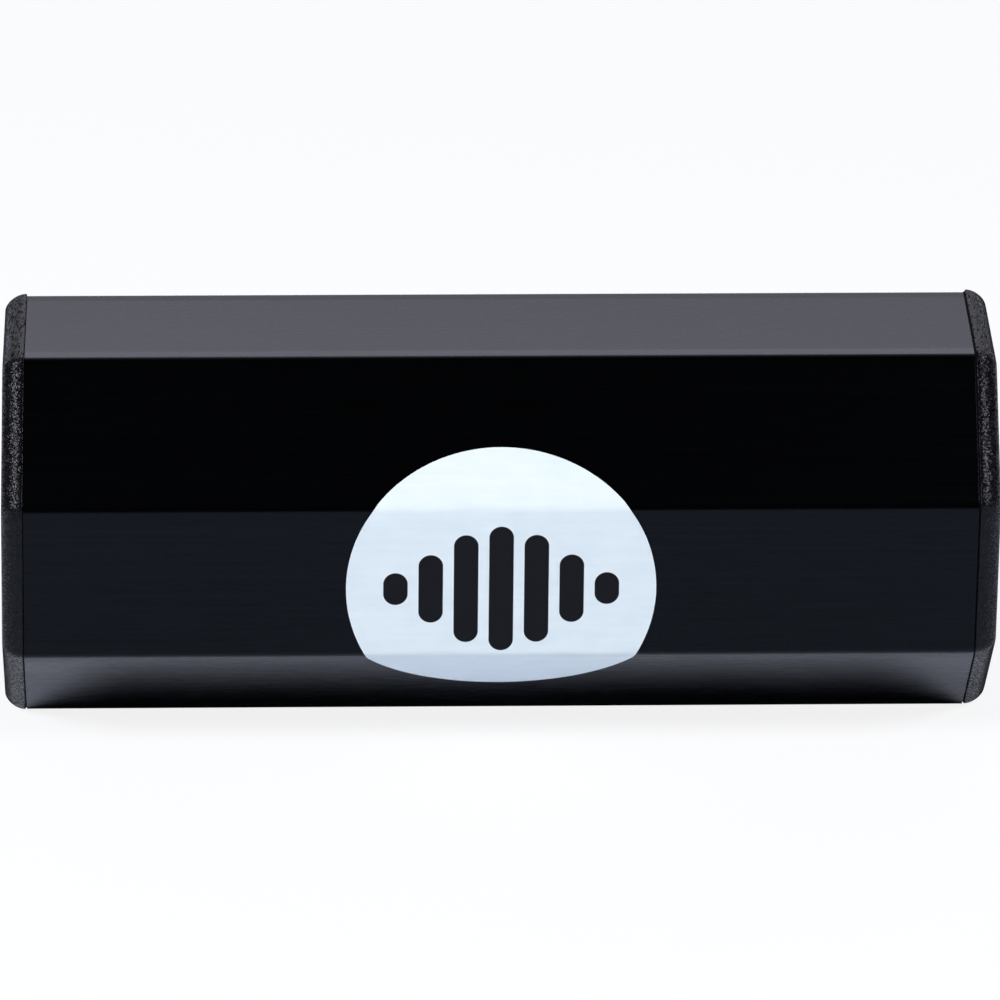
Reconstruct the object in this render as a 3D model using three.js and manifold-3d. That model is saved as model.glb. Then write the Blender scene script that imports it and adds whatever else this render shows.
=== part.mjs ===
// An octagonal tube shaker: an extruded tube, two plug-in end caps, a round label wrapped over three
// facets, and loose steel shot lying in rows on the tube's floor.
// Millimetres, +Z up. The tube runs along X, the label faces -Y and the caps' lowest flats are at z = 0.
import * as THREE from "three";
import { mergeVertices } from "three/addons/utils/BufferGeometryUtils.js";
import Module from "manifold-3d";

// Extruded tube
const TUBE_ACROSS_FLATS = 50.8;
const TUBE_LENGTH = 124.7;
const TUBE_WALL = 1.5;
const TUBE_OUTER_CORNER_RADIUS = 1.25;
const TUBE_INNER_CORNER_RADIUS = 0.5;
const TUBE_EDGE_BREAK = 0.2;

// Moulded end caps: flange and rounded rim
const CAP_SEAM_GAP = 0.125;
const CAP_SEAM_DEPTH = 0.5;
const CAP_SEAT_CLEARANCE = 0.05;
const CAP_PROUD = 0.12;
const CAP_FLANGE_THICKNESS = 2.65;
const CAP_RIM_LAND = 0.2;
const CAP_RIM_INSET = 2.1;
const CAP_RIM_FULLNESS = 1.7;
const CAP_FACE_CORNER_RADIUS = 0.7;

// Moulded end caps: plug skirt and its crush ribs
const CAP_CROWN_WALL = 2;
const CAP_SKIRT_WALL = 2;
const CAP_SKIRT_LENGTH = 9;
const CAP_SKIRT_CLEARANCE = 0.5;
const CAP_SKIRT_DRAFT = 0.15;
const CAP_SKIRT_CORNER_RADIUS = 1;
const CAP_POCKET_CORNER_RADIUS = 0.5;
const CAP_LEAD_IN_RUN = 1.6;
const CAP_LEAD_IN_DROP = 0.6;
const RIB_CLEARANCE = 0.1;
const RIB_WIDTH = 0.8;
const RIB_SPACING = 9;
const RIB_TAPER = 1.2;
const RIB_ROOT = 0.4;

// Round label
const LABEL_WIDTH = 40.5;
const LABEL_HEIGHT = 39.6;
const LABEL_DROP = 0.9;
const LABEL_THICKNESS = 0.12;
const LABEL_GLUE = 0.06;

// Loose shot
const BALL_DIAMETER = 4.5;
const BALL_GAP = 0.3;
const BALL_REST_GAP = 0.05;
const BALLS_PER_ROW = 13;
const ROW_STAGGER = 4.5;

// Counts that set how finely round shapes are drawn
const FACETS = 8;
const CORNER_STEPS = 4;
const RIM_STEPS = 7;
const LABEL_STEPS = 40;
const BALL_DETAIL = 1;

const FACET_TURN = (2 * Math.PI) / FACETS;
const tubeApothem = TUBE_ACROSS_FLATS / 2;
const boreApothem = tubeApothem - TUBE_WALL;
const capApothem = tubeApothem + CAP_PROUD;
const capCornerRadius = TUBE_OUTER_CORNER_RADIUS + CAP_PROUD;
const capSeat = TUBE_LENGTH / 2 + CAP_SEAM_GAP;
const skirtApothem = boreApothem - CAP_SKIRT_CLEARANCE;
const halfFlat = (tubeApothem - TUBE_OUTER_CORNER_RADIUS) * Math.tan(FACET_TURN / 2);
const cornerArc = TUBE_OUTER_CORNER_RADIUS * FACET_TURN;
const facetGirth = 2 * halfFlat + cornerArc;

const wasm = await Module();
wasm.setup();

// One ring of points round the X axis: a regular octagon, flats up and down, with rounded corners.
function octagonRing({ apothem, radius, x }) {
  const reach = (apothem - radius) / Math.cos(FACET_TURN / 2);
  const ring = [];
  for (let corner = 0; corner < FACETS; corner += 1) {
    const middle = (corner + 0.5) * FACET_TURN;
    for (let step = 0; step <= CORNER_STEPS; step += 1) {
      const turn = (corner + step / CORNER_STEPS) * FACET_TURN;
      const y = reach * Math.cos(middle) + radius * Math.cos(turn);
      const z = reach * Math.sin(middle) + radius * Math.sin(turn);
      ring.push(x, y, z);
    }
  }
  return ring;
}

// A skin over octagonal rings. A looped run of stations makes a tube wall. Any other run is closed by a
// flat lid over its first ring and another over its last.
function octagonLoft(stations, looped) {
  const count = FACETS * (CORNER_STEPS + 1);
  const points = stations.flatMap(octagonRing);
  const faces = [];
  const spans = looped ? stations.length : stations.length - 1;
  for (let span = 0; span < spans; span += 1) {
    const here = span * count;
    const next = ((span + 1) % stations.length) * count;
    for (let point = 0; point < count; point += 1) {
      const after = (point + 1) % count;
      faces.push(here + point, here + after, next + after);
      faces.push(here + point, next + after, next + point);
    }
  }
  if (!looped) {
    const firstHub = points.length / 3;
    const lastHub = firstHub + 1;
    const lastRing = (stations.length - 1) * count;
    points.push(stations[0].x, 0, 0);
    points.push(stations[stations.length - 1].x, 0, 0);
    for (let point = 0; point < count; point += 1) {
      const after = (point + 1) % count;
      faces.push(firstHub, after, point);
      faces.push(lastHub, lastRing + point, lastRing + after);
    }
  }
  return meshGeometry(points, faces);
}

function meshGeometry(points, faces) {
  const geometry = new THREE.BufferGeometry();
  geometry.setAttribute("position", new THREE.Float32BufferAttribute(points, 3));
  geometry.setIndex(faces);
  geometry.computeVertexNormals();
  return geometry;
}

function toSolid(geometry) {
  const bare = geometry.clone();
  bare.deleteAttribute("normal");
  bare.deleteAttribute("uv");
  const merged = mergeVertices(bare);
  const vertProperties = new Float32Array(merged.attributes.position.array);
  const triVerts = new Uint32Array(merged.index.array);
  return new wasm.Manifold(new wasm.Mesh({ numProp: 3, vertProperties, triVerts }));
}

function toGeometry(solid) {
  const { vertProperties, triVerts } = solid.getMesh();
  return meshGeometry(Array.from(vertProperties), Array.from(triVerts));
}

// The tube's wall: out along the outside, back along the bore, all four cut edges broken.
function tubeGeometry() {
  const end = TUBE_LENGTH / 2;
  const brokenOuter = {
    apothem: tubeApothem - TUBE_EDGE_BREAK,
    radius: TUBE_OUTER_CORNER_RADIUS - TUBE_EDGE_BREAK,
  };
  const outer = { apothem: tubeApothem, radius: TUBE_OUTER_CORNER_RADIUS };
  const bore = { apothem: boreApothem, radius: TUBE_INNER_CORNER_RADIUS };
  const brokenBore = {
    apothem: boreApothem + TUBE_EDGE_BREAK,
    radius: TUBE_INNER_CORNER_RADIUS + TUBE_EDGE_BREAK,
  };
  const stations = [
    { ...brokenOuter, x: -end },
    { ...outer, x: -end + TUBE_EDGE_BREAK },
    { ...outer, x: end - TUBE_EDGE_BREAK },
    { ...brokenOuter, x: end },
    { ...brokenBore, x: end },
    { ...bore, x: end - TUBE_EDGE_BREAK },
    { ...bore, x: -end + TUBE_EDGE_BREAK },
    { ...brokenBore, x: -end },
  ];
  return octagonLoft(stations, true);
}

// The cap's rounded rim, from the land beside the seam to the flat end face. Fullness 1 would be a
// straight chamfer and 2 a quarter ellipse.
function rimStations() {
  const run = CAP_FLANGE_THICKNESS - CAP_RIM_LAND;
  const stations = [];
  for (let step = 0; step <= RIM_STEPS; step += 1) {
    const turn = ((step / RIM_STEPS) * Math.PI) / 2;
    const along = Math.sin(turn) ** (2 / CAP_RIM_FULLNESS);
    const inward = 1 - Math.cos(turn) ** (2 / CAP_RIM_FULLNESS);
    stations.push({
      apothem: capApothem - CAP_RIM_INSET * inward,
      radius: THREE.MathUtils.lerp(capCornerRadius, CAP_FACE_CORNER_RADIUS, inward),
      x: CAP_RIM_LAND + run * along,
    });
  }
  return stations;
}

// One crush rib on the skirt's upper facet: a side profile with a tapered nose, as deep as the rib is wide.
function ribGeometry(offset) {
  const height = CAP_SKIRT_CLEARANCE - RIB_CLEARANCE;
  const nose = CAP_LEAD_IN_RUN - CAP_SKIRT_LENGTH;
  const profile = new THREE.Shape();
  profile.moveTo(RIB_ROOT, -RIB_ROOT);
  profile.lineTo(RIB_ROOT, height);
  profile.lineTo(nose + RIB_TAPER, height);
  profile.lineTo(nose, 0);
  profile.lineTo(nose, -RIB_ROOT);
  profile.closePath();
  const geometry = new THREE.ExtrudeGeometry(profile, { depth: RIB_WIDTH, bevelEnabled: false });
  geometry.rotateX(Math.PI / 2);
  geometry.translate(0, offset + RIB_WIDTH / 2, skirtApothem);
  return geometry;
}

// The whole cap as one shell, from the crown's inner face round the skirt to the outer end face, with
// two crush ribs joined to each facet of the skirt. A low shoulder seats on the tube's end, so that only
// a shallow seam is open under the rim. X points out of the tube, from the rim's edge at the seam.
function capGeometry() {
  const crown = CAP_FLANGE_THICKNESS - CAP_CROWN_WALL;
  const mouth = skirtApothem - CAP_SKIRT_WALL;
  const skirt = { apothem: skirtApothem, radius: CAP_SKIRT_CORNER_RADIUS };
  const shoulder = { apothem: capApothem - CAP_SEAM_DEPTH, radius: CAP_SKIRT_CORNER_RADIUS };
  const seat = CAP_SEAT_CLEARANCE - CAP_SEAM_GAP;
  const nose = skirtApothem - CAP_LEAD_IN_DROP;
  const stations = [
    { apothem: mouth - CAP_SKIRT_DRAFT, radius: CAP_POCKET_CORNER_RADIUS, x: crown },
    { apothem: mouth, radius: CAP_POCKET_CORNER_RADIUS, x: -CAP_SKIRT_LENGTH },
    { apothem: nose, radius: CAP_SKIRT_CORNER_RADIUS, x: -CAP_SKIRT_LENGTH },
    { ...skirt, x: CAP_LEAD_IN_RUN - CAP_SKIRT_LENGTH },
    { ...skirt, x: seat },
    { ...shoulder, x: seat },
    { ...shoulder, x: 0 },
    { apothem: capApothem, radius: capCornerRadius, x: 0 },
    ...rimStations(),
  ];
  let cap = toSolid(octagonLoft(stations, false));
  for (let facet = 0; facet < FACETS; facet += 1) {
    for (const side of [-1, 1]) {
      const rib = ribGeometry((side * RIB_SPACING) / 2);
      rib.rotateX(facet * FACET_TURN);
      cap = cap.add(toSolid(rib));
    }
  }
  return toGeometry(cap);
}

// A point over the tube's outside at a girth, which is measured round the outline from the middle of the
// front facet, upwards if positive. Lift is the height over the surface.
function overTube(x, girth, lift) {
  const facet = Math.floor((Math.abs(girth) + halfFlat) / facetGirth);
  const along = Math.abs(girth) - facet * facetGirth;
  const past = Math.max(along - halfFlat, 0);
  const turn = facet * FACET_TURN + past / TUBE_OUTER_CORNER_RADIUS;
  const centreTurn = facet * FACET_TURN;
  const centreAlong = Math.min(along, halfFlat);
  const centreOut = tubeApothem - TUBE_OUTER_CORNER_RADIUS;
  const reach = TUBE_OUTER_CORNER_RADIUS + lift;
  const out = centreOut * Math.cos(centreTurn) - centreAlong * Math.sin(centreTurn) + reach * Math.cos(turn);
  const up = centreOut * Math.sin(centreTurn) + centreAlong * Math.cos(centreTurn) + reach * Math.sin(turn);
  return [x, -out, Math.sign(girth) * up];
}

// Heights on the label where it is drawn: even steps round its edge, and the tube's corner lines.
function labelHeights() {
  const reach = LABEL_HEIGHT / 2;
  const corners = [];
  for (let start = halfFlat; start < reach + LABEL_DROP; start += facetGirth) {
    for (let step = 0; step <= CORNER_STEPS; step += 1) {
      const girth = start + (cornerArc * step) / CORNER_STEPS;
      corners.push(girth + LABEL_DROP, LABEL_DROP - girth);
    }
  }
  const inArc = (height) => {
    const along = (Math.abs(height - LABEL_DROP) + halfFlat) % facetGirth;
    return along > 2 * halfFlat;
  };
  const edge = [];
  for (let step = 1; step < LABEL_STEPS; step += 1) {
    edge.push(-reach * Math.cos((step / LABEL_STEPS) * Math.PI));
  }
  const reached = corners.filter((height) => height > edge[0] && height < edge[edge.length - 1]);
  const flat = edge.filter((height) => !inArc(height));
  return [...flat, ...reached].sort((low, high) => low - high);
}

// The label as a film of even thickness, laid over the facets strip by strip.
function labelGeometry() {
  const inner = LABEL_GLUE;
  const outer = LABEL_GLUE + LABEL_THICKNESS;
  const heights = labelHeights();
  const points = [];
  const faces = [];
  for (const height of heights) {
    const half = (LABEL_WIDTH / 2) * Math.sqrt(1 - (height / (LABEL_HEIGHT / 2)) ** 2);
    const girth = height - LABEL_DROP;
    points.push(...overTube(-half, girth, outer));
    points.push(...overTube(half, girth, outer));
    points.push(...overTube(half, girth, inner));
    points.push(...overTube(-half, girth, inner));
  }
  const sides = 4;
  for (let strip = 0; strip < heights.length - 1; strip += 1) {
    const low = strip * sides;
    const high = low + sides;
    for (let side = 0; side < sides; side += 1) {
      const after = (side + 1) % sides;
      faces.push(low + side, low + after, high + after);
      faces.push(low + side, high + after, high + side);
    }
  }
  const top = (heights.length - 1) * sides;
  faces.push(0, 3, 2, 0, 2, 1);
  faces.push(top, top + 1, top + 2, top, top + 2, top + 3);
  return meshGeometry(points, faces);
}

function namedMesh(name, geometry, material) {
  const mesh = new THREE.Mesh(geometry, material);
  mesh.name = name;
  return mesh;
}

// Shot lies in rows on the bore's lowest flat, as many as it is wide enough for.
function shotRows() {
  const pitch = BALL_DIAMETER + BALL_GAP;
  const floorWidth = 2 * boreApothem * Math.tan(FACET_TURN / 2);
  const rowCount = Math.floor(floorWidth / pitch);
  const height = BALL_DIAMETER / 2 + BALL_REST_GAP - boreApothem;
  const geometry = new THREE.IcosahedronGeometry(BALL_DIAMETER / 2, BALL_DETAIL);
  const rows = new THREE.Group();
  for (let row = 0; row < rowCount; row += 1) {
    const line = new THREE.Group();
    const shift = row % 2 === 0 ? -ROW_STAGGER : ROW_STAGGER;
    line.position.set(shift, (row - (rowCount - 1) / 2) * pitch, height);
    for (let place = 0; place < BALLS_PER_ROW; place += 1) {
      const steel = new THREE.MeshStandardMaterial({ color: 0xb4b6b8, roughness: 0.25, metalness: 1 });
      const number = String(place + 1).padStart(2, "0");
      const ball = namedMesh(`shot_row${row + 1}_ball${number}`, geometry, steel);
      ball.position.x = (place - (BALLS_PER_ROW - 1) / 2) * pitch;
      line.add(ball);
    }
    rows.add(line);
  }
  return rows;
}

const anodised = new THREE.MeshStandardMaterial({ color: 0x16181c, roughness: 0.32, metalness: 0.6 });
const leftPlastic = new THREE.MeshStandardMaterial({ color: 0x1e1e20, roughness: 0.6, metalness: 0 });
const rightPlastic = leftPlastic.clone();
const film = new THREE.MeshStandardMaterial({ color: 0xe6ecf2, roughness: 0.45, metalness: 0 });

const shaker = new THREE.Group();
shaker.position.z = capApothem;

shaker.add(namedMesh("tube", tubeGeometry(), anodised));

const moulding = capGeometry();
const rightCap = namedMesh("right_end_cap", moulding, rightPlastic);
rightCap.position.x = capSeat;
shaker.add(rightCap);

const leftCap = namedMesh("left_end_cap", moulding, leftPlastic);
leftCap.position.x = -capSeat;
leftCap.rotation.z = Math.PI;
shaker.add(leftCap);

shaker.add(namedMesh("front_label", labelGeometry(), film));
shaker.add(shotRows());

export default shaker;
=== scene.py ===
import math
import bpy
import numpy as np
from mathutils import Matrix, Vector


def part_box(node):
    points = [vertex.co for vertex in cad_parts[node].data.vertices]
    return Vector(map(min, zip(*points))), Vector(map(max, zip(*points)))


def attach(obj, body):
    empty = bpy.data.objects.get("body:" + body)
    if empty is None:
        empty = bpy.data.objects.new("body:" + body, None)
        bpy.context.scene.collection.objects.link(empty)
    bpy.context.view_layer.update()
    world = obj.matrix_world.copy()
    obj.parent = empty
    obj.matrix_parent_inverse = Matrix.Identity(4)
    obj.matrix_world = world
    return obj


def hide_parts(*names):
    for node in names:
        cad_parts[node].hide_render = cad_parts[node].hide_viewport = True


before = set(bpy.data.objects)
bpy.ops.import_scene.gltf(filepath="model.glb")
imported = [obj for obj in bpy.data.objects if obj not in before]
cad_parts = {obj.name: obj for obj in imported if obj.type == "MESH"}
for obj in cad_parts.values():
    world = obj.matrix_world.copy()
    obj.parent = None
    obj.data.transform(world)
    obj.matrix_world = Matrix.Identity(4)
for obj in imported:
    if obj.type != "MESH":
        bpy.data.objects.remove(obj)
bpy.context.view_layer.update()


# Extruded tube
# One length of octagonal aluminium section, sawn off, deburred at both ends and anodised satin black.
# The die runs a hair oversize and leaves faint lines, and the saw is half a degree out of square. It lies
# on one flat and carries the caps, the label and the shot.

MM = 0.001
tube_low, tube_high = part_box("tube")
tube_half = (tube_high.x - tube_low.x) / 2
oversize = 0.08 * MM
tube_apothem = (tube_high.z - tube_low.z) / 2 + oversize
axis_height = (tube_high.z + tube_low.z) / 2
tube_wall = 1.5 * MM
tube_corner = 1.75 * MM
bore_corner = 0.5 * MM
deburr = 0.05 * MM
bore_apothem = tube_apothem - tube_wall
flat_margin = 0.03 * MM
left_saw = {"shift": 0.3 * MM, "per_y": 0.0083, "per_z": 0.0028}
right_saw = {"shift": -0.175 * MM, "per_y": 0.0, "per_z": 0.0057}
crown_turn = math.radians(2.5)
crown_radius = 8 * MM
crown_width = 1.3 * MM


def octagon_rings(x, apothem, radius):
    """Octagons with rounded corners round the tube's axis, one for each x, as an array (rings, points, 3).

    The flats fall away a little near their edges. So a corner, which turns through 45 degrees, is a gentle
    arc of crown_radius through crown_turn, a straight strip, a tight arc of the given radius about a point on
    the corner's middle ray, and then the same strip and gentle arc again. With h = the turn held inside the
    tight arc, n() the direction of a turn and t() the one square to it, a point is reach * n(middle) +
    radius * n(h) + strip * t(h) + crown_radius * (n(turn) - n(h)). One more point beside each end of the
    corner, at margin * t(turn), keeps the shading of the flat level.
    """
    x, apothem, radius = np.broadcast_arrays(*np.atleast_1d(x, apothem, radius))
    bend = math.pi / 4
    gentle = np.linspace(0, crown_turn, 4)
    tight = np.linspace(crown_turn, bend - crown_turn, 9)
    turn = np.concatenate([[0], gentle, tight, bend - gentle[::-1], [bend]])
    held = np.clip(turn, crown_turn, bend - crown_turn)
    side = np.repeat([-1, 0, 1], [5, 9, 5])
    margin = np.where(np.arange(turn.size) % (turn.size - 1) == 0, side * flat_margin, 0)
    start = np.arange(8)[:, None] * bend
    turn, held, middle = ((start + angle).ravel() for angle in (turn, held, np.full(turn.size, bend / 2)))
    strip, margin = np.tile(side * crown_width, 8), np.tile(margin, 8)
    apothem, radius = apothem[:, None], radius[:, None]
    fall = crown_width * math.sin(crown_turn) + crown_radius * (1 - math.cos(crown_turn))
    reach = (apothem - radius * math.cos(crown_turn) - fall) / math.cos(bend / 2)
    tight_part = radius - crown_radius
    y = reach * np.cos(middle) + tight_part * np.cos(held) + crown_radius * np.cos(turn)
    z = reach * np.sin(middle) + tight_part * np.sin(held) + crown_radius * np.sin(turn)
    y = y - strip * np.sin(held) - margin * np.sin(turn)
    z = z + strip * np.cos(held) + margin * np.cos(turn)
    return np.stack([np.broadcast_to(x[:, None], y.shape), y, z + axis_height], axis=2)


def ring_faces(rings, points, looped):
    """Quads between each ring and the next, with one flat lid over each end of a run that isn't looped."""
    here = np.arange(rings if looped else rings - 1)[:, None] * points
    after = (here + points) % (rings * points)
    point = np.arange(points)
    turned = (point + 1) % points
    quads = np.stack([here + point, here + turned, after + turned, after + point], axis=2)
    faces = quads.reshape(-1, 4).tolist()
    if not looped:
        faces.append(point[::-1].tolist())
        faces.append((point + (rings - 1) * points).tolist())
    return faces


def new_piece(name, points, faces, material, sharp_degrees):
    """An object at the origin from points in metres, smooth but for edges that turn over sharp_degrees."""
    mesh = bpy.data.meshes.new(name)
    mesh.from_pydata(points.reshape(-1, 3).tolist(), [], faces)
    mesh.validate()
    mesh.shade_smooth()
    mesh.set_sharp_from_angle(angle=math.radians(sharp_degrees))
    mesh.materials.append(material)
    piece = bpy.data.objects.new(name, mesh)
    bpy.context.scene.collection.objects.link(piece)
    return piece


def node(tree, kind, settings=None, **sockets):
    """Adds a node. Each named socket gets a value, or a link where an output is given."""
    made = tree.nodes.new(kind)
    for key, value in (settings or {}).items():
        setattr(made, key, value)
    for key, value in sockets.items():
        socket = made.inputs[int(key[1:])] if key[0] == "_" else made.inputs[key.replace("_", " ")]
        if isinstance(value, bpy.types.NodeSocket):
            tree.links.new(value, socket)
        else:
            socket.default_value = value
    return made


def calc(tree, operation, *values):
    """One step of arithmetic on numbers or outputs."""
    named = {"_%d" % place: value for place, value in enumerate(values)}
    return node(tree, "ShaderNodeMath", {"operation": operation}, **named).outputs[0]


def spread(tree, value, low, high, to_low, to_high):
    """Carries a value from one range to another, held at both ends."""
    limits = {"From_Min": low, "From_Max": high, "To_Min": to_low, "To_Max": to_high}
    return node(tree, "ShaderNodeMapRange", Value=value, **limits).outputs[0]


def stretched_noise(tree, across, along, detail):
    """Noise in Object coordinates, per metre across the tube and along it, so that it runs in streaks."""
    place = node(tree, "ShaderNodeTexCoord").outputs["Object"]
    place = node(tree, "ShaderNodeMapping", Vector=place, Scale=(along, across, across)).outputs[0]
    noise = node(tree, "ShaderNodeTexNoise", Vector=place, Scale=1.0, Detail=detail, Roughness=0.6)
    return noise.outputs["Fac"]


def tinted(tree, amount, dark, light):
    """A colour between dark and light by an amount from 0 to 1."""
    mix = node(tree, "ShaderNodeMix", {"data_type": "RGBA"}, Factor=amount)
    mix.inputs[6].default_value = (*dark, 1)
    mix.inputs[7].default_value = (*light, 1)
    return mix.outputs[2]


def new_finish(name):
    """A new material with its tree and its Principled shader."""
    material = bpy.data.materials.new(name)
    material.use_nodes = True
    return material, material.node_tree, material.node_tree.nodes["Principled BSDF"]


def black_anodising():
    """Satin black oxide on aluminium: dark metal with die lines in its height, gloss and colour."""
    material, tree, shader = new_finish("black_anodising")
    scuffs = stretched_noise(tree, across=2600, along=130, detail=3)
    die_lines = stretched_noise(tree, across=1500, along=5, detail=4)
    cloud = stretched_noise(tree, across=60, along=60, detail=4)
    lines = calc(tree, "ADD", calc(tree, "MULTIPLY", scuffs, 0.5), calc(tree, "MULTIPLY", die_lines, 0.5))
    shade = spread(tree, lines, 0.3, 0.7, 0, 1)
    colour = tinted(tree, shade, (0.0004, 0.0014, 0.0034), (0.0026, 0.0040, 0.0066))
    gloss = calc(tree, "ADD", spread(tree, lines, 0.3, 0.7, 0.22, 0.30), calc(tree, "MULTIPLY", cloud, 0.04))
    relief = node(tree, "ShaderNodeBump", Strength=0.5, Distance=0.006 * MM, Height=lines)
    shader.inputs["Metallic"].default_value = 1
    shader.inputs["Specular Tint"].default_value = (0.92, 0.93, 1, 1)
    shader.inputs["Coat Weight"].default_value = 1
    shader.inputs["Coat IOR"].default_value = 1.18
    shader.inputs["Coat Roughness"].default_value = 0.26
    tree.links.new(colour, shader.inputs["Base Color"])
    tree.links.new(gloss, shader.inputs["Roughness"])
    tree.links.new(relief.outputs[0], shader.inputs["Normal"])
    tree.links.new(relief.outputs[0], shader.inputs["Coat Normal"])
    return material


def tube_wall_rings():
    """The wall's section as a loop: out along the outside, round the deburred edge, back along the bore.

    Each deburred edge is a quarter circle of radius deburr between the wall and the sawn end.
    """
    arc = np.linspace(0, math.pi / 2, 6)
    rise = deburr * (1 - np.cos(arc))
    drop = deburr * (1 - np.sin(arc))
    left = -tube_half + rise
    outside_x = np.concatenate([left, [left[-1] + flat_margin, -left[-1] - flat_margin], -left[::-1]])
    outside_drop = np.concatenate([drop, [0, 0], drop[::-1]])
    bore_x = outside_x[::-1]
    x = np.concatenate([outside_x, bore_x])
    apothem = np.concatenate([tube_apothem - outside_drop, bore_apothem + outside_drop])
    radius = np.concatenate([tube_corner - outside_drop, bore_corner + outside_drop])
    return octagon_rings(x, apothem, radius)


def out_of_square(points, shift, per_y, per_z):
    """Moves points along the tube by shift + per_y * y + per_z * (height above the axis)."""
    x = points[..., 0] + shift + per_y * points[..., 1] + per_z * (points[..., 2] - axis_height)
    return np.concatenate([x[..., None], points[..., 1:]], axis=-1)


rings = tube_wall_rings()
rings = np.where(rings[..., :1] < 0, out_of_square(rings, **left_saw), out_of_square(rings, **right_saw))
tube_faces = ring_faces(*rings.shape[:2], looped=True)
tube = new_piece("extruded_tube", rings, tube_faces, black_anodising(), sharp_degrees=35)
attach(tube, "shaker_body")
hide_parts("tube")


# End caps
# Two plugs moulded in black plastic with a fine eroded grain, pressed into the tube until the flange stops
# just short of its end. Eight mitred facets round over to a flat end, a little proud of the tube. Each cap
# is pressed home by hand, so it leans a little and the two seams differ by a tenth of a millimetre.

cap_low, cap_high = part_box("right_end_cap")
more_proud = 0.08 * MM
cap_apothem = (cap_high.z - cap_low.z) / 2 + more_proud
flange = 2.81 * MM
seat_clearance = 0.01 * MM
land_round = 0.15 * MM
rim_land = 0.2 * MM
rim_inset = 2.1 * MM
rim_fullness = 1.7
land_corner = 1.45 * MM
face_corner = 0.7 * MM
crown_wall = 2 * MM
skirt_wall = 2 * MM
skirt_gap = 0.5 * MM
skirt_draft = 0.15 * MM
skirt_corner = 1 * MM
lead_run = 1.6 * MM
lead_drop = 0.6 * MM
skirt_apothem = bore_apothem - skirt_gap
shoulder_ring = 4
seat_ring = 6


def cap_rings(sawn_end, seam, seam_depth):
    """The cap's skin from the crown's inner face, round the skirt and the rim, to the end face.

    Its shoulder fills the seam from seat_clearance off the sawn end, seam_depth below the flats. The land's
    edge is a quarter circle of radius land_round. The rim is a quarter of a superellipse: along = sin(t) **
    (2 / fullness) and inward = 1 - cos(t) ** (2 / fullness), scaled to the flange's depth and to the inset,
    while its corners tighten with inward.
    """
    seat = sawn_end + seam
    shoulder = sawn_end + seat_clearance
    mouth = skirt_apothem - skirt_wall
    skirt = [
        (seat + flange - crown_wall, mouth - skirt_draft, skirt_corner / 2),
        (cap_low.x, mouth, skirt_corner / 2),
        (cap_low.x, skirt_apothem - lead_drop, skirt_corner),
        (cap_low.x + lead_run, skirt_apothem, skirt_corner),
        (shoulder, skirt_apothem, skirt_corner),
        (shoulder, cap_apothem - seam_depth, skirt_corner),
        (seat, cap_apothem - seam_depth, skirt_corner),
    ]
    quarter = np.linspace(0, math.pi / 2, 4)
    edge_x = seat + land_round * (1 - np.cos(quarter))
    edge_apothem = cap_apothem - land_round * (1 - np.sin(quarter))
    edge = np.stack([edge_x, edge_apothem, np.full(4, land_corner)], axis=1)
    turn = np.linspace(0, math.pi / 2, 25)
    along = np.sin(turn) ** (2 / rim_fullness)
    inward = 1 - np.cos(turn) ** (2 / rim_fullness)
    rim_x = seat + rim_land + (flange - rim_land) * along
    rim_apothem = cap_apothem - rim_inset * inward
    rim_corner = land_corner + (face_corner - land_corner) * inward
    rim = np.stack([rim_x, rim_apothem, rim_corner], axis=1)
    face = [(seat + flange, rim_apothem[-1] - flat_margin, face_corner)]
    stations = np.concatenate([skirt, edge, rim, face])
    return octagon_rings(*stations.T)


def crush_ribs():
    """Two low ribs on each facet of the skirt: a side profile with a tapered nose, given the rib's width.

    The profile lies in the plane of the axis. Ribs are copies of one, turned by 45 degrees a facet.
    """
    height, root, width, spacing, taper = np.array([0.4, 0.4, 0.8, 9, 1.2]) * MM
    nose = cap_low.x + lead_run
    along = np.array([tube_half + root, tube_half + root, nose + taper, nose, nose])
    out = np.array([-root, height, height, 0, -root]) + skirt_apothem
    side = np.array([-1, 1])
    facet = np.arange(8)
    middle = side * spacing / 2
    edge = side * width / 2
    facet, middle, edge, corner = np.meshgrid(facet, middle, edge, np.arange(5), indexing="ij")
    turn = facet * math.pi / 4
    across = middle + edge
    y = out[corner] * np.cos(turn) - across * np.sin(turn)
    z = out[corner] * np.sin(turn) + across * np.cos(turn)
    points = np.stack([along[corner], y, z + axis_height], axis=-1).reshape(-1, 3)
    one = [[0, 1, 2, 3, 4], [9, 8, 7, 6, 5]]
    one += [[5 + k, 5 + (k + 1) % 5, (k + 1) % 5, k] for k in range(5)]
    faces = [[10 * rib + place for place in face] for rib in range(16) for face in one]
    return points, faces


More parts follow.
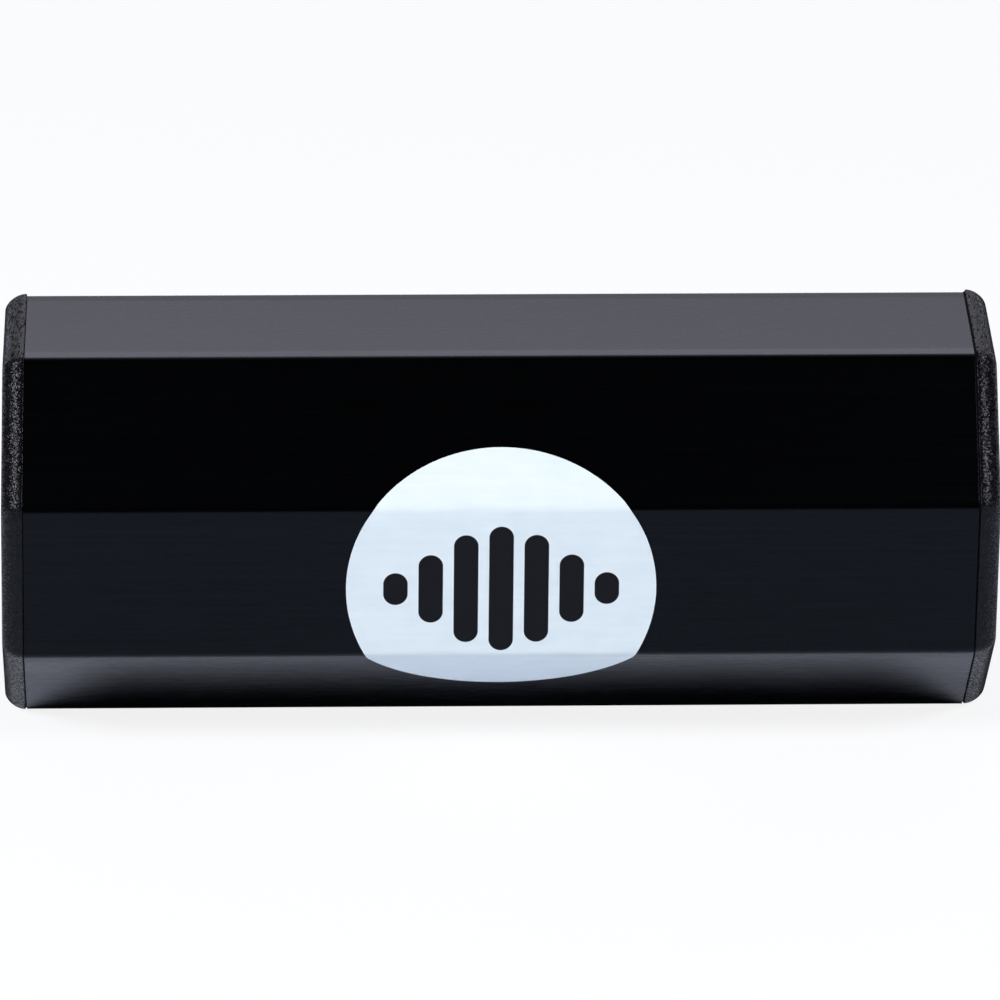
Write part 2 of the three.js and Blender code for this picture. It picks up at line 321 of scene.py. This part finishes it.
def eroded_plastic():
    """Black plastic from a spark-eroded mould: tiny facets, tilted at random, that catch light as specks.

    The surface is split into cells, once coarsely and once finely, longer from front to back on the rim than
    on the end face. Each cell's random colour, less its mean, tilts the normal there, and the coarse cell's
    third channel sets its tone: partly the grain's own random tone and partly painted glint, since its few
    lighter cells paint specks of highlight into the colour. Seen edge on, the facets hide each other, so the
    gloss is lost there. Hands have polished the rim beside the tube, and that polish fades as the rim turns
    towards the end.
    """
    material, tree, shader = new_finish("eroded_black_plastic")
    coarse_per_metre, fine_per_metre = 5400.0, 8000.0
    rim_share, face_share = (1.0, 0.28, 1.0), (0.7, 0.7, 0.7)
    steepest = (0.2, 0.56, 0.34)
    place = node(tree, "ShaderNodeTexCoord").outputs["Object"]
    level = node(tree, "ShaderNodeNewGeometry").outputs["Normal"]
    endwise = calc(tree, "ABSOLUTE", node(tree, "ShaderNodeSeparateXYZ", Vector=level).outputs[0])
    rim_place = node(tree, "ShaderNodeMapping", Vector=place, Scale=rim_share).outputs[0]
    face_place = node(tree, "ShaderNodeMapping", Vector=place, Scale=face_share).outputs[0]
    on_face = calc(tree, "GREATER_THAN", endwise, 0.98)
    place = node(tree, "ShaderNodeMix", {"data_type": "VECTOR"}, Factor=on_face)
    tree.links.new(rim_place, place.inputs[4])
    tree.links.new(face_place, place.inputs[5])
    place = place.outputs[1]
    coarse = node(tree, "ShaderNodeTexVoronoi", Vector=place, Scale=coarse_per_metre).outputs["Color"]
    fine = node(tree, "ShaderNodeTexVoronoi", Vector=place, Scale=fine_per_metre).outputs["Color"]
    tilt = node(tree, "ShaderNodeVectorMath", {"operation": "ADD"}, _0=coarse, _1=fine).outputs[0]
    tilt = node(tree, "ShaderNodeVectorMath", {"operation": "SUBTRACT"}, _0=tilt, _1=(1, 1, 1)).outputs[0]
    tilt = node(tree, "ShaderNodeVectorMath", {"operation": "MULTIPLY"}, _0=tilt, _1=steepest).outputs[0]
    facing = node(tree, "ShaderNodeVectorMath", {"operation": "ADD"}, _0=level, _1=tilt).outputs[0]
    facing = node(tree, "ShaderNodeVectorMath", {"operation": "NORMALIZE"}, _0=facing).outputs[0]
    speck_tone_and_glint = node(tree, "ShaderNodeSeparateXYZ", Vector=coarse).outputs[2]
    # Partly painted glint: the few lighter cells of this base colour paint specks of highlight, on top of the
    # grain's random tone.
    colour = tinted(tree, calc(tree, "POWER", speck_tone_and_glint, 3.0), (0.0002, 0.0002, 0.001), (0.003, 0.0032, 0.005))
    edge_on = node(tree, "ShaderNodeLayerWeight", Blend=0.5).outputs["Facing"]
    dulled = spread(tree, edge_on, 0.74, 0.88, 0.276, 0.9)
    gloss = calc(tree, "ADD", dulled, calc(tree, "MULTIPLY", speck_tone_and_glint, 0.02))
    polish = spread(tree, endwise, 0.1, 0.7, 1, 0)
    shader.inputs["Specular IOR Level"].default_value = 0.14
    shader.inputs["Specular Tint"].default_value = (0.84, 0.85, 1, 1)
    tree.links.new(colour, shader.inputs["Base Color"])
    tree.links.new(gloss, shader.inputs["Roughness"])
    shader.inputs["Coat IOR"].default_value = 1.13
    shader.inputs["Coat Roughness"].default_value = 0.3
    tree.links.new(polish, shader.inputs["Coat Weight"])
    tree.links.new(facing, shader.inputs["Normal"])
    tree.links.new(facing, shader.inputs["Coat Normal"])
    return material


def smooth_plastic():
    """The same plastic where the mould is plain, behind the seam: dull black with faint draw marks."""
    material, tree, shader = new_finish("smooth_black_plastic")
    marks = stretched_noise(tree, across=2400, along=300, detail=3)
    colour = tinted(tree, marks, (0.0030, 0.0030, 0.0036), (0.0060, 0.0060, 0.0070))
    relief = node(tree, "ShaderNodeBump", Strength=0.3, Distance=0.01 * MM, Height=marks)
    shader.inputs["Specular IOR Level"].default_value = 0.02
    tree.links.new(colour, shader.inputs["Base Color"])
    tree.links.new(spread(tree, marks, 0.3, 0.7, 0.5, 0.65), shader.inputs["Roughness"])
    tree.links.new(relief.outputs[0], shader.inputs["Normal"])
    return material


grained = eroded_plastic()
plain = smooth_plastic()
rib_points, rib_faces = crush_ribs()
caps = (
    ("left", -1, left_saw, 0.08 * MM, 0.22 * MM, 0.15 * MM, 0.0027),
    ("right", 1, right_saw, 0.17 * MM, 0.28 * MM, 0.22 * MM, 0.0008),
)
for side, outward, saw, seam, seam_depth, lift, lean in caps:
    sawn_end = tube_half + outward * saw["shift"]
    rings = cap_rings(sawn_end, seam, seam_depth) * (outward, outward, 1)
    shoulder = rings[shoulder_ring:seat_ring]
    rim = rings[seat_ring:]
    fading_lean = lean * (sawn_end + seam + flange - np.abs(rim[:, :1, 0])) / flange
    rings[shoulder_ring:seat_ring] = out_of_square(shoulder, 0, saw["per_y"], saw["per_z"])
    rings[seat_ring:] = out_of_square(rim, 0, saw["per_y"], saw["per_z"] + fading_lean)
    first_rib = rings.shape[0] * rings.shape[1]
    cap_points = np.concatenate([rings.reshape(-1, 3), rib_points * (outward, outward, 1)]) + (0, 0, lift)
    cap_faces = ring_faces(*rings.shape[:2], looped=False)
    cap_faces += [[first_rib + place for place in face] for face in rib_faces]
    cap = new_piece(side + "_moulded_cap", cap_points, cap_faces, grained, sharp_degrees=50)
    cap.data.materials.append(plain)
    face = np.arange(len(cap_faces))
    rim_face = (face >= (seat_ring + 1) * rings.shape[1]) & (face < len(cap_faces) - len(rib_faces))
    crown_lid = (rings.shape[0] - 1) * rings.shape[1]
    cap.data.polygons.foreach_set("material_index", np.where(rim_face & (face != crown_lid), 0, 1))
    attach(cap, "shaker_body")
    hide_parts(side + "_end_cap")


# Round label
# A disc of white printed film, stuck on so that it wraps over the front facet and the two beside it.
# Its print is a plain row of round-ended bars.

label_low, label_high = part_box("front_label")
label_half_width = (label_high.x - label_low.x) / 2
label_half_height = 19.8 * MM
label_drop = 0.9 * MM
glue = 0.06 * MM
film = 0.12 * MM


def over_facets(girth, lift):
    """Points over the tube's outline at a girth, measured upwards from the middle of the front facet.

    The outline is flats of half width w = (apothem - corner) * tan(22.5 degrees) joined by 45 degree arcs.
    A point is its arc's centre, or that centre slid along the flat, plus corner + lift along the normal.
    """
    half_flat = (tube_apothem - tube_corner) * math.tan(math.pi / 8)
    pitch = 2 * half_flat + tube_corner * math.pi / 4
    size = np.abs(girth)
    facet = np.floor((size + half_flat) / pitch)
    along = size - facet * pitch
    base = facet * math.pi / 4
    turn = base + np.maximum(along - half_flat, 0) / tube_corner
    along = np.minimum(along, half_flat)
    inner = tube_apothem - tube_corner
    out = inner * np.cos(base) - along * np.sin(base) + (tube_corner + lift) * np.cos(turn)
    up = inner * np.sin(base) + along * np.cos(base) + (tube_corner + lift) * np.sin(turn)
    return -out, np.sign(girth) * up + axis_height


def label_film():
    """The film's skin: rows of four points, outer left and right and inner right and left, up the disc.

    Rows are at height = -half_height * cos(t), where the label reaches half_width * sin(t) to each side.
    """
    tip_turn = 0.03
    turn = np.linspace(tip_turn, math.pi - tip_turn, 260)
    height = -label_half_height * np.cos(turn)
    half = label_half_width * np.sin(turn)
    x = np.stack([-half, half, half, -half], axis=1)
    lift = np.array([glue + film, glue + film, glue, glue])
    y, z = over_facets((height - label_drop)[:, None], lift)
    return np.stack([x, y, z], axis=2), height


def printed_film():
    """White satin film, faintly streaked and dented, with a row of black round-ended bars.

    A bar's half length follows the square of a cosine of its place in the row, and a point is inked
    where its distance from the bar's middle line is under half_bar.
    """
    material, tree, shader = new_finish("printed_white_film")
    wrap = node(tree, "ShaderNodeUVMap", {"uv_map": "wrap"}).outputs[0]
    flat = node(tree, "ShaderNodeSeparateXYZ", Vector=wrap)
    place = node(tree, "ShaderNodeTexCoord").outputs["Object"]
    pitch, half_bar, soft_edge = 4.6, 1.6, 0.03
    longest, swing_step, bars_each_side = 7.3, 0.42, 3
    beat = calc(tree, "DIVIDE", flat.outputs[0], pitch)
    index = calc(tree, "ROUND", beat)
    beside = calc(tree, "MULTIPLY", calc(tree, "SUBTRACT", beat, index), pitch)
    swing = calc(tree, "COSINE", calc(tree, "MULTIPLY", index, swing_step))
    reach = calc(tree, "MULTIPLY", calc(tree, "POWER", swing, 2.0), longest)
    past = calc(tree, "SUBTRACT", calc(tree, "ABSOLUTE", flat.outputs[1]), reach)
    past = calc(tree, "MAXIMUM", past, 0.0)
    squares = calc(tree, "ADD", calc(tree, "POWER", beside, 2.0), calc(tree, "POWER", past, 2.0))
    gap = calc(tree, "SQRT", squares)
    inside = calc(tree, "LESS_THAN", calc(tree, "ABSOLUTE", index), bars_each_side + 0.5)
    bar = spread(tree, gap, half_bar + soft_edge, half_bar - soft_edge, 0, 1)
    ink = calc(tree, "MULTIPLY", bar, inside)
    cloud = node(tree, "ShaderNodeTexNoise", Vector=place, Scale=240.0, Detail=4.0).outputs["Fac"]
    streaks = stretched_noise(tree, across=1100, along=90, detail=3)
    mottle = calc(tree, "MULTIPLY", calc(tree, "ADD", cloud, streaks), 0.5)
    shade = spread(tree, mottle, 0.35, 0.65, 0, 1)
    paper = tinted(tree, shade, (0.685, 0.77, 0.825), (0.735, 0.81, 0.857))
    colour = node(tree, "ShaderNodeMix", {"data_type": "RGBA"}, Factor=ink)
    tree.links.new(paper, colour.inputs[6])
    colour.inputs[7].default_value = (0.003, 0.004, 0.006, 1)
    dents = node(tree, "ShaderNodeTexNoise", Vector=place, Scale=520.0, Detail=2.0).outputs["Fac"]
    relief = node(tree, "ShaderNodeBump", Strength=0.6, Distance=0.04 * MM, Height=dents)
    shader.inputs["Specular IOR Level"].default_value = 0.12
    tree.links.new(colour.outputs[2], shader.inputs["Base Color"])
    tree.links.new(spread(tree, mottle, 0.3, 0.7, 0.34, 0.42), shader.inputs["Roughness"])
    tree.links.new(relief.outputs[0], shader.inputs["Normal"])
    return material


rows, height = label_film()
label_faces = ring_faces(*rows.shape[:2], looped=False)
label = new_piece("wrapped_label", rows, label_faces, printed_film(), sharp_degrees=40)
wrap_map = label.data.uv_layers.new(name="wrap")
corner_point = np.zeros(len(label.data.loops), np.int32)
label.data.loops.foreach_get("vertex_index", corner_point)
flat_place = np.stack([rows[:, :, 0] / MM, np.repeat(height[:, None], 4, axis=1) / MM], axis=2)
wrap_map.data.foreach_set("uv", flat_place.reshape(-1, 2)[corner_point].ravel().astype(np.float32))
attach(label, "shaker_body")
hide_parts("front_label")


# Loose shot
# Rolled steel balls, poured into the tube before its second cap goes on and left loose there. They run
# along the tube's floor from cap to cap, and each row of them moves as one.


def ball_points(centres, radius, rings=14, points=24):
    """Spheres on a grid of turn and rise round each centre, with both poles as small closed lids."""
    highest = math.pi / 2 - 0.1
    rise = np.linspace(-highest, highest, rings)[:, None]
    turn = np.arange(points) * 2 * math.pi / points
    out = np.cos(rise)
    unit = np.stack([out * np.cos(turn), out * np.sin(turn), np.sin(rise) + 0 * turn], axis=2)
    return centres[:, None, None, :] + radius * unit


def rolled_steel():
    """Bright steel with fine rolling scratches and a few dull patches."""
    material, tree, shader = new_finish("rolled_steel")
    place = node(tree, "ShaderNodeTexCoord").outputs["Object"]
    haze = node(tree, "ShaderNodeTexNoise", Vector=place, Scale=900.0, Detail=4.0).outputs["Fac"]
    scratch = stretched_noise(tree, across=6000, along=700, detail=2)
    colour = tinted(tree, haze, (0.46, 0.46, 0.46), (0.62, 0.62, 0.61))
    relief = node(tree, "ShaderNodeBump", Strength=0.15, Distance=0.01 * MM, Height=scratch)
    shader.inputs["Metallic"].default_value = 1
    tree.links.new(colour, shader.inputs["Base Color"])
    tree.links.new(spread(tree, haze, 0.3, 0.7, 0.16, 0.3), shader.inputs["Roughness"])
    tree.links.new(relief.outputs[0], shader.inputs["Normal"])
    return material


steel = rolled_steel()
for body in ("shot_row1", "shot_row2", "shot_row3", "shot_row4"):
    names = sorted(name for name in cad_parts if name.startswith(body))
    corners = np.array([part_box(name) for name in names])
    balls = ball_points(corners.mean(axis=1), (corners[0, 1, 0] - corners[0, 0, 0]) / 2)
    count = balls.shape[1] * balls.shape[2]
    one = ring_faces(*balls.shape[1:3], looped=False)
    faces = [[count * ball + place for place in face] for ball in range(len(names)) for face in one]
    row = new_piece(body + "_balls", balls, faces, steel, sharp_degrees=60)
    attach(row, body)
    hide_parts(*names)


# Studio
# A pale floor, a surround that is bright behind and dim in front, two soft boxes at the front corners and
# one low behind, which the top facet mirrors. The camera stands where the photograph was taken from.

floor_half = 3.0
floor_mesh = bpy.data.meshes.new("floor")
floor_corners = np.array([(-1, -1, 0), (1, -1, 0), (1, 1, 0), (-1, 1, 0)]) * floor_half
floor_mesh.from_pydata(floor_corners.tolist(), [], [(0, 1, 2, 3)])
floor = bpy.data.objects.new("floor", floor_mesh)
bpy.context.scene.collection.objects.link(floor)
paper, tree, shader = new_finish("pale_floor")
shader.inputs["Base Color"].default_value = (0.83, 0.88, 0.99, 1)
shader.inputs["Roughness"].default_value = 0.9
shader.inputs["Specular IOR Level"].default_value = 0.0
glow = node(tree, "ShaderNodeEmission", Color=(1, 1, 1, 1), Strength=1.0)
white_share = 0.86
seen = calc(tree, "MULTIPLY", node(tree, "ShaderNodeLightPath").outputs["Is Camera Ray"], white_share)
both = node(tree, "ShaderNodeMixShader", _0=seen, _1=shader.outputs[0], _2=glow.outputs[0])
tree.links.new(both.outputs[0], tree.nodes["Material Output"].inputs["Surface"])
floor_mesh.materials.append(paper)

world = bpy.data.worlds.new("studio")
world.use_nodes = True
bpy.context.scene.world = world
tree = world.node_tree
backdrop = tree.nodes["Background"]
way = node(tree, "ShaderNodeTexCoord").outputs["Generated"]
backward = node(tree, "ShaderNodeSeparateXYZ", Vector=way).outputs[1]
dim, bright = 0.02, 0.45
surround = spread(tree, backward, 0.3, 0.7, dim, bright)
level = calc(tree, "MAXIMUM", surround, node(tree, "ShaderNodeLightPath").outputs["Is Camera Ray"])
tree.links.new(level, backdrop.inputs["Strength"])
backdrop.inputs["Color"].default_value = (0.9, 0.895, 1, 1)

lamp_distance = 0.9


def soft_box(name, azimuth, elevation, width, depth, watts, colour):
    lamp = bpy.data.lights.new(name, "AREA")
    lamp.shape = "RECTANGLE"
    lamp.size = width
    lamp.size_y = depth
    lamp.energy = watts
    lamp.color = colour
    stand = bpy.data.objects.new(name, lamp)
    turn, rise = math.radians(azimuth), math.radians(elevation)
    away = Vector((math.sin(turn) * math.cos(rise), -math.cos(turn) * math.cos(rise), math.sin(rise)))
    stand.location = Vector((0, 0, axis_height)) + away * lamp_distance
    stand.rotation_euler = away.to_track_quat("Z", "Y").to_euler()
    stand.visible_camera = False
    bpy.context.scene.collection.objects.link(stand)


soft_box("left_soft_box", -60, 39.5, width=0.26, depth=0.2, watts=7.0, colour=(1, 1, 1))
soft_box("right_soft_box", 60, 42, width=0.26, depth=0.2, watts=4.9, colour=(1, 1, 1))
soft_box("back_soft_box", 172, 32.75, width=0.9, depth=0.165, watts=1.1, colour=(0.94, 0.92, 1))

photo_azimuth, photo_elevation, photo_roll = np.radians([-2.0858, 24.6559, 0.591])
photo_distance = 1.32919
photo_aim = Vector((0.661 * MM, 0, axis_height + 0.036 * MM))
back = Vector((math.sin(photo_azimuth) * math.cos(photo_elevation),
               -math.cos(photo_azimuth) * math.cos(photo_elevation),
               math.sin(photo_elevation)))
level_right = (-back).cross(Vector((0, 0, 1))).normalized()
level_up = back.cross(level_right)
right = level_right * math.cos(photo_roll) + level_up * math.sin(photo_roll)
up = level_up * math.cos(photo_roll) - level_right * math.sin(photo_roll)
camera = bpy.data.objects.new("photo_camera", bpy.data.cameras.new("photo_camera"))
camera.data.sensor_width = 36
camera.data.lens = 360.46
turned = Matrix((right, up, back)).transposed().to_4x4()
camera.matrix_world = Matrix.Translation(photo_aim + back * photo_distance) @ turned
bpy.context.scene.collection.objects.link(camera)
bpy.context.scene.camera = camera
bpy.context.scene.view_settings.view_transform = "Standard"
